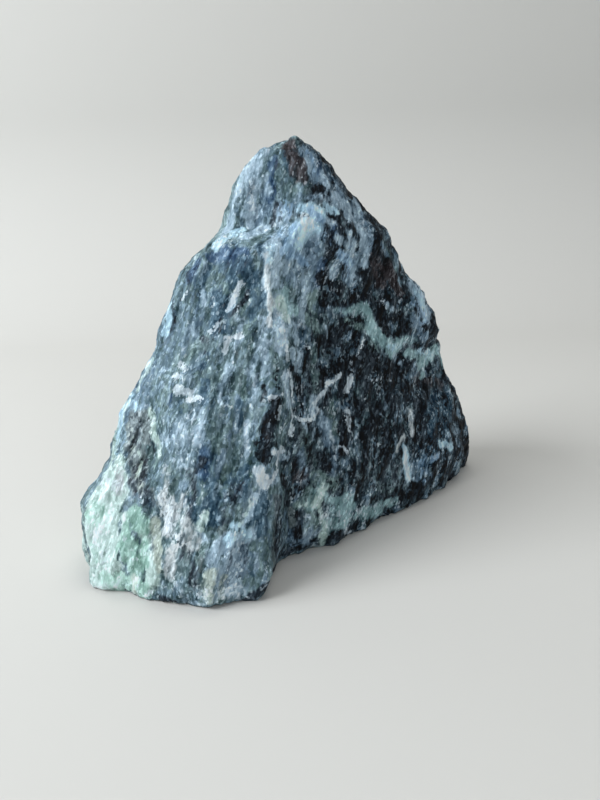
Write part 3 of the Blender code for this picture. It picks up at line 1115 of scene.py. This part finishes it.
@dataclass(frozen=True)
class Share:
    """How much of a mineral one side of the stone holds before any lode.

    Beside the steady amount it may swing with one of the slow drifts, and with the clumps.
    """

    steady: float
    swing: float = 0.0
    drift: int = 0
    clumped: float = 0.0

    def over(self, drifts: list[np.ndarray], clumps: np.ndarray) -> np.ndarray:
        """The amount at each point."""
        return self.steady + self.swing * drifts[self.drift] + self.clumped * clumps


@dataclass(frozen=True)
class Strewing:
    """Lodes of one mineral strewn by chance: how many, how wide and long in millimetres, and how strong."""

    mineral: Mineral
    count: int
    width: float
    length: float
    strength: float


@dataclass(frozen=True)
class Minerals:
    """Where each mineral lies: all over the stone, in lodes that show from the stand, and in strewn ones.

    The stone has a light side, a dark side and a back. Each border between them runs a little unevenly, and
    blurs over some millimetres. The light side ends at a line that leans with the height above the floor.
    """

    grain: Grain = Grain()
    stand: Stand = Stand()
    streaks: FrontStreaks = FrontStreaks()
    end_lodes: tuple[Lode, ...] = (
        Lode(PALE_MINT, 18, 1.1, ((-109, -36, 12), (-108, -22, 16), (-106, -4, 20), (-100, 10, 26))),
        Lode(PALE_MINT, 12, 1, ((-100, -18, 44), (-98, -4, 40))),
        Lode(MINT, 10, 0.8, ((-108, -10, 10), (-102, 6, 12))),
        Lode(JADE, 9, 0.8, ((-104, 2, 30), (-98, 14, 22))),
        Lode(TALC, 6, 0.6, ((-106, -14, 26), (-104, -2, 32))),
        Lode(EARTH, 8, 0.7, ((-92, 20, 20), (-88, 26, 40))),
        Lode(DEEP_MINT, 7, 0.7, ((-92, 16, 50), (-84, 14, 70))),
        Lode(DEEP_MINT, 9, 0.85, ((92, 62, 72), (88, 76, 66), (76, 84, 56))),
        Lode(DEEP_MINT, 7, 0.7, ((76, 84, 56), (60, 84, 52))),
        Lode(ICE, 4, 0.6, ((88, 74, 68), (80, 80, 60))),
    )
    scattered: tuple[Strewing, ...] = (
        Strewing(PALE, 34, 2.2, 9.0, 0.7),
        Strewing(ICE, 8, 1.8, 7.0, 0.6),
        Strewing(DEEP_MINT, 9, 2.6, 14.0, 0.75),
        Strewing(PALE_MINT, 6, 2.4, 8.0, 0.7),
        Strewing(JADE, 5, 2.6, 7.0, 0.5),
        Strewing(CREAM, 4, 2.0, 5.0, 0.6),
        Strewing(EARTH, 8, 3.0, 9.0, 0.7),
        Strewing(IRON, 7, 3.2, 7.0, 0.75),
        Strewing(NAVY, 12, 2.4, 8.0, 0.7),
        Strewing(BLACK, 18, 2.8, 9.0, 0.6),
        Strewing(TALC, 46, 1.0, 4.0, 0.8),
        Strewing(TALC, 10, 5.0, 12.0, 0.3),
    )
    # What each strewn lode draws by chance: shares of its kind's length, width and strength.
    scatter_seed: int = 17
    scatter_reaches: int = 2
    scatter_stray: float = 0.4
    scatter_length: Range = (0.4, 1.6)
    scatter_width: Range = (0.6, 1.5)
    scatter_strength: Range = (0.7, 1.2)

    tear: Pattern = Pattern(6.0, 3, 41.0, 1.6)
    clumps: Pattern = Pattern(8.0, 3, 99.0, 1.5)
    drifts: tuple[Pattern, ...] = tuple(Pattern(42.0, 2, 50.0 + 9.0 * i, 2.0) for i in range(5))
    sways: tuple[Pattern, ...] = tuple(Pattern(5.0, 1, 70.0 + 3.0 * i) for i in range(3))
    sway: float = 1.3

    # Where the dark side and the back begin, and how much of a mineral the light side, the dark side and the
    # back hold all over.
    dark_from: float = -1.0
    dark_height: float = 110.0
    dark_lean: float = 0.10
    dark_tear: float = 4.0
    dark_blur: float = 9.0
    sole_height: float = 2.0
    sole_drift: float = 30.0
    back_slope: float = 0.55
    back_from: float = 44.0
    back_drift: float = 8.0
    back_blur: float = 14.0
    ground: tuple[tuple[Mineral, Share, Share, Share], ...] = (
        (DEEP_MOSS, Share(0.95), Share(0.16, 0.35, 3, 0.6), Share(0.5, 0.5, 1)),
        (MOSS, Share(0.36, 0.35, 1), Share(-0.2), Share(0.38, 0.5, 2)),
        (SLATE, Share(0.30, 0.4, 3), Share(-0.05, clumped=0.9), Share(0.34, 0.5, 4)),
        (BLACK, Share(0.06), Share(0.54, clumped=-0.85), Share(0.18)),
    )
    talc: float = 0.13
    talc_clumped: float = 0.15
    talc_in_dark: float = 0.2
    talc_limits: Range = (-0.05, 0.2)
    black_lost: float = 0.4

    def named(self, solid: BVHTree) -> list[Lode]:
        """The lodes that show on the front, cast onto the CAD solid, and those round the two ends."""
        return [self.stand.lode(solid, *found) for found in self.streaks.listed()] + list(self.end_lodes)

    def strewn(self, points: np.ndarray, free: np.ndarray) -> list[Lode]:
        """Lodes strewn by chance where none are named, drawn out along the grain.

        Args:
            points: The skin's points in millimetres.
            free: Which of the points a lode may start from.

        Returns:
            The lodes.
        """
        chance = random.Random(self.scatter_seed)
        starts = np.flatnonzero(free)
        along = self.grain.axes() @ np.array([0.0, 0.0, 1.0])
        found = []
        for kind in self.scattered:
            for _ in range(kind.count):
                course = [points[starts[chance.randrange(len(starts))]]]
                sideways = np.array([chance.gauss(0.0, self.scatter_stray) for _ in range(3)])
                heading = along * chance.choice((-1.0, 1.0)) + sideways
                for _ in range(self.scatter_reaches):
                    aim = course[-1] + heading * kind.length * chance.uniform(*self.scatter_length)
                    course.append(points[np.argmin(((points - aim) ** 2).sum(axis=1))])
                width = kind.width * chance.uniform(*self.scatter_width)
                strength = kind.strength * chance.uniform(*self.scatter_strength)
                found.append(Lode(kind.mineral, width, strength, tuple(map(tuple, course))))
        return found

    def held(self, points: np.ndarray, solid: BVHTree) -> dict[Mineral, np.ndarray]:
        """How much of each mineral the skin holds.

        Args:
            points: The skin's points in millimetres.
            solid: The CAD solid.

        Returns:
            An amount at each point for each mineral.
        """
        x, y, z = points.T
        rough = self.tear.over(points, self.grain)
        drifts = [drift.over(points, self.grain) for drift in self.drifts]
        clumps = self.clumps.over(points, self.grain)
        edge = x - self.dark_from + self.dark_tear * rough + self.dark_lean * (self.dark_height - z)
        ahead = self.back_slope * x - y + self.back_from + self.back_drift * drifts[0]
        front = smooth_step(-self.back_blur, self.back_blur, ahead)
        below = z < self.sole_height
        dark = smooth_step(-self.dark_blur, self.dark_blur, edge + self.sole_drift * drifts[4] * below)
        light, night, back = front * (1.0 - dark), front * dark, 1.0 - front

        held = {mineral: np.full(len(points), ABSENT) for mineral in Mineral}
        for mineral, *shares in self.ground:
            sides = zip((light, night, back), shares)
            held[mineral] = sum(side * share.over(drifts, clumps) for side, share in sides)
        clumped = (self.talc_clumped + self.talc_in_dark * night) * clumps
        held[TALC] = self.talc + np.clip(clumped, *self.talc_limits)

        bent = points + self.sway * np.stack([sway.over(points, self.grain) for sway in self.sways], axis=1)
        for lode in self.named(solid) + self.strewn(points, (front < 0.5) | below):
            amount = lode.amount(bent, rough)
            if lode.mineral not in (TALC, BLACK, COAL, NAVY, TEAL):
                held[BLACK] -= self.black_lost * np.clip(amount - ABSENT, 0.0, 1.0)
            held[lode.mineral] = np.maximum(held[lode.mineral], amount)
        return held


@dataclass
class SoapstoneBlock:
    """The stone: one skin that stands for the CAD solid.

    Its voxel is the side of the squares that the skin is grown from, and points of the CAD solid closer
    than the weld are joined, both in millimetres. Raised is the height that counts as one step of the
    darkening in hollows and lightening on what stands out, which is partly painted shade.
    """

    node: str = "soapstone_block"
    slot: str = "stone"
    piece: str = "raw_soapstone"
    weld: float = 0.01
    voxel: float = 1.21
    rounding: int = 2
    raised: float = 1.5
    raised_limits: Range = (-1.5, 1.2)
    relief: Relief = Relief()
    minerals: Minerals = Minerals()

    def solid(self) -> bmesh.types.BMesh:
        """Copies the CAD solid.

        Returns:
            The copy, still to be freed.
        """
        bm = bmesh.new()
        bm.from_mesh(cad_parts[self.node].data)
        return bm

    def skin(self) -> bpy.types.Object:
        """Grows an even, fine skin from a merged copy of the CAD solid.

        Returns:
            The new object, at the origin.
        """
        bm = self.solid()
        bmesh.ops.remove_doubles(bm, verts=bm.verts, dist=self.weld * MM)
        mesh = bpy.data.meshes.new("soapstone_skin")
        bm.to_mesh(mesh)
        bm.free()
        seed = bpy.data.objects.new("soapstone_seed", mesh)
        bpy.context.scene.collection.objects.link(seed)
        remesh = seed.modifiers.new("even", "REMESH")
        remesh.mode = "VOXEL"
        remesh.voxel_size = self.voxel * MM
        rounding = seed.modifiers.new("rounding", "SMOOTH")
        rounding.factor = 0.5
        rounding.iterations = self.rounding
        grown = bpy.data.meshes.new_from_object(seed.evaluated_get(bpy.context.evaluated_depsgraph_get()))
        bpy.data.objects.remove(seed)
        grown.name = self.piece
        stone = bpy.data.objects.new(self.piece, grown)
        bpy.context.scene.collection.objects.link(stone)
        return stone

    def masks(self, points: np.ndarray, height: np.ndarray) -> dict[str, np.ndarray]:
        """What the finish reads from the skin.

        Args:
            points: The skin's points in millimetres, before they were moved.
            height: How far each was raised, in millimetres.

        Returns:
            A value at each point for each mineral, and for how far the point stands out.
        """
        bm = self.solid()
        held = self.minerals.held(points, BVHTree.FromBMesh(bm))
        bm.free()
        masks = {mineral.value: amount for mineral, amount in held.items()}
        # This height also darkens the hollows in the colour, partly as painted shade.
        masks["raised"] = np.clip(height / self.raised, *self.raised_limits)
        return masks

    def build(self, finish: bpy.types.Material) -> bpy.types.Object:
        """Makes the stone and puts its masks and finish on it.

        Args:
            finish: The soapstone material.

        Returns:
            The finished piece.
        """
        stone = self.skin()
        mesh = stone.data
        buffer = np.empty(len(mesh.vertices) * 3, dtype=np.float32)
        mesh.vertices.foreach_get("co", buffer)
        points = buffer.reshape(-1, 3).astype(np.float64) / MM
        mesh.vertex_normals.foreach_get("vector", buffer)
        moved, height = self.relief.broken(points, buffer.reshape(-1, 3).astype(np.float64))
        mesh.vertices.foreach_set("co", (moved * MM).astype(np.float32).ravel())
        for name, amount in self.masks(points, height).items():
            layer = mesh.attributes.new(name, "FLOAT", "POINT")
            layer.data.foreach_set("value", amount.astype(np.float32))
        mesh.shade_smooth()
        mesh.materials.clear()
        mesh.materials.append(finish)
        mesh.update()
        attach(stone, "root")
        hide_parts(self.node)
        triangles = sum(len(face.vertices) - 2 for face in mesh.polygons)
        log.info("%s: %d points, %d triangles", stone.name, len(points), triangles)
        return stone


@dataclass(frozen=True)
class PaperFinish:
    """Matt pale paper under and behind the stone."""

    paper: Colour = (0.55, 0.545, 0.52, 1.0)
    roughness: float = 0.9
    specular: float = 0.15

    def build(self) -> bpy.types.Material:
        """Makes the material.

        Returns:
            The finished paper.
        """
        material = bpy.data.materials.new("studio_paper")
        material.use_nodes = True
        shader = material.node_tree.nodes["Principled BSDF"]
        shader.inputs["Base Color"].default_value = self.paper
        shader.inputs["Roughness"].default_value = self.roughness
        shader.inputs["Specular IOR Level"].default_value = self.specular
        return material


@dataclass(frozen=True)
class Lamp:
    """A soft square lamp that faces the stone: its place and side in millimetres, and its power in watts."""

    name: str
    place: Triple
    side: float
    power: float
    colour: Triple
    aim: Triple = (0.0, 0.0, 80.0)

    def hang(self) -> bpy.types.Object:
        """Makes the lamp.

        Returns:
            The lamp, turned to the stone.
        """
        data = bpy.data.lights.new(self.name, "AREA")
        data.shape = "SQUARE"
        data.size = self.side * MM
        data.energy = self.power
        data.color = self.colour
        made = bpy.data.objects.new(self.name, data)
        made.location = Vector(self.place) * MM
        sight = Vector(self.aim) * MM - made.location
        made.rotation_mode = "QUATERNION"
        made.rotation_quaternion = sight.to_track_quat("-Z", "Y")
        bpy.context.scene.collection.objects.link(made)
        return made


@dataclass
class Studio:
    """A paper sweep, soft lamps, air light and the camera. The sweep's sizes are in millimetres."""

    stand: Stand = Stand()
    paper: PaperFinish = PaperFinish()
    half_width: float = 2200.0
    front: float = -1500.0
    back: float = 650.0
    height: float = 1800.0
    bend: float = 260.0
    bend_steps: int = 24
    clearance: float = 0.1
    lamps: tuple[Lamp, ...] = (
        Lamp("window", (-1150.0, -330.0, 950.0), 900.0, 26.4, (0.94, 0.97, 1.0)),
        Lamp("fill", (700.0, -1400.0, 900.0), 1200.0, 7.8, (0.95, 0.975, 1.0)),
        Lamp("back_wash", (200.0, 500.0, 1500.0), 900.0, 10.0, (1.0, 0.98, 0.95)),
    )
    air: Colour = (0.85, 0.93, 1.0, 1.0)
    air_strength: float = 0.25

    def sweep(self) -> bpy.types.Object:
        """Makes the floor and the wall as one bent sheet.

        Returns:
            The sheet.
        """
        bm = bmesh.new()
        left, right = -self.half_width, self.half_width
        around = ((left, self.front), (right, self.front), (right, self.back), (left, self.back))
        bm.faces.new([bm.verts.new(Vector((x, y, -self.clearance)) * MM) for x, y in around])
        rear = [edge for edge in bm.edges if all(vert.co.y > 0.0 for vert in edge.verts)]
        raised = bmesh.ops.extrude_edge_only(bm, edges=rear)
        top = [part for part in raised["geom"] if isinstance(part, bmesh.types.BMVert)]
        bmesh.ops.translate(bm, verts=top, vec=(0.0, 0.0, self.height * MM))
        bmesh.ops.bevel(
            bm,
            geom=[edge for edge in bm.edges if len(edge.link_faces) == 2],
            offset=self.bend * MM,
            offset_type="OFFSET",
            segments=self.bend_steps,
            profile=0.5,
            affect="EDGES",
            material=-1,
        )
        bmesh.ops.recalc_face_normals(bm, faces=bm.faces)
        mesh = bpy.data.meshes.new("studio_sweep")
        bm.to_mesh(mesh)
        bm.free()
        mesh.shade_smooth()
        mesh.materials.append(self.paper.build())
        sheet = bpy.data.objects.new("studio_sweep", mesh)
        bpy.context.scene.collection.objects.link(sheet)
        return sheet

    def camera(self) -> bpy.types.Object:
        """Stands the camera in front of the stone, a little above it.

        Returns:
            The camera.
        """
        data = bpy.data.cameras.new("camera")
        data.lens = self.stand.lens
        data.sensor_width = self.stand.film
        data.clip_start = self.stand.near * MM
        made = bpy.data.objects.new("camera", data)
        made.matrix_world = self.stand.pose()
        bpy.context.scene.collection.objects.link(made)
        bpy.context.scene.camera = made
        return made

    def sky(self) -> bpy.types.World:
        """Fills the air with pale light from all round.

        Returns:
            The world that holds it.
        """
        world = bpy.data.worlds.new("air")
        bpy.context.scene.world = world
        world.use_nodes = True
        sky = world.node_tree.nodes["Background"]
        sky.inputs["Color"].default_value = self.air
        sky.inputs["Strength"].default_value = self.air_strength
        return world

    def build(self) -> None:
        """Makes the sweep, the lamps, the air light and the camera."""
        self.sweep()
        for lamp in self.lamps:
            lamp.hang()
        self.sky()
        self.camera()
        bpy.context.scene.view_settings.view_transform = "Standard"
        log.info("studio: sweep, %d lamps, air and camera", len(self.lamps))


def main() -> None:
    """Builds the stone and the studio."""
    logging.basicConfig(level=logging.INFO, format="%(name)s %(message)s")
    SoapstoneBlock().build(SoapstoneFinish().build())
    Studio().build()


if __name__ == "__main__":
    main()
